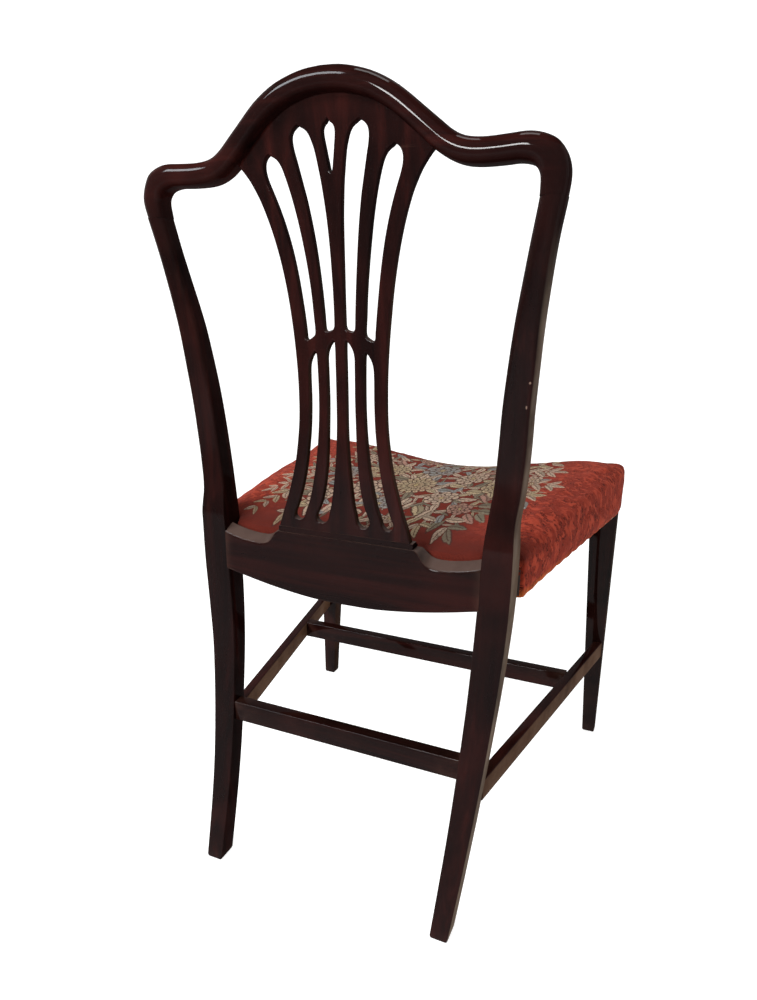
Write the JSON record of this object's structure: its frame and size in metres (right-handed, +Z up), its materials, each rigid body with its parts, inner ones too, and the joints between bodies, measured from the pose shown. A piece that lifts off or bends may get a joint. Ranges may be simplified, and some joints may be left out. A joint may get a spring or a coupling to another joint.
{
  "type": "shield back dining chair",
  "caption": "Dining chair with an arched crest, a pierced flaring splat, swept stiles, a dished fully upholstered seat, square tapered front legs and low stretchers.",
  "frame": {"origin": "on the floor under the middle of the chair's bounding box", "axes": "+Z up, front of the seat towards -Y, chair back towards +Y, +X towards the sitter's left"},
  "size_m": [0.5502, 0.5632, 0.9466],
  "materials": {
    "mahogany": "dark stained mahogany, hand-rubbed gloss polish, worn on the edges",
    "beech": "unpolished sawn beech",
    "screw_steel": "dull steel wood screw",
    "webbing": "woven jute webbing",
    "hessian": "open woven hessian",
    "horsehair": "matted curled horsehair",
    "needlework_cover": "matt wool needlework, floral centre on brick red, napped sides"
  },
  "bodies": {
    "root": {"crest_rail": "mahogany", "back_splat": "mahogany", "splat_shoe": "mahogany", "rear_leg_left": "mahogany", "front_leg_left": "mahogany", "rear_leg_right": "mahogany", "front_leg_right": "mahogany", "rear_seat_rail": "mahogany", "front_seat_rail": "beech", "side_seat_rail_left": "beech", "corner_block_front_left": "beech", "corner_block_rear_left": "beech", "block_screw_front_left_1": "screw_steel", "block_screw_front_left_2": "screw_steel", "block_screw_rear_left_1": "screw_steel", "block_screw_rear_left_2": "screw_steel", "side_stretcher_left": "mahogany", "side_seat_rail_right": "beech", "corner_block_front_right": "beech", "corner_block_rear_right": "beech", "block_screw_front_right_1": "screw_steel", "block_screw_front_right_2": "screw_steel", "block_screw_rear_right_1": "screw_steel", "block_screw_rear_right_2": "screw_steel", "side_stretcher_right": "mahogany", "rear_stretcher": "mahogany", "cross_stretcher": "mahogany", "web_across_1": "webbing", "web_across_2": "webbing", "web_across_3": "webbing", "web_across_4": "webbing", "web_along_1": "webbing", "web_along_2": "webbing", "web_along_3": "webbing", "web_along_4": "webbing", "seat_hessian": "hessian", "seat_stuffing": "horsehair", "seat_cover": "needlework_cover"}
  },
  "joints": []
}
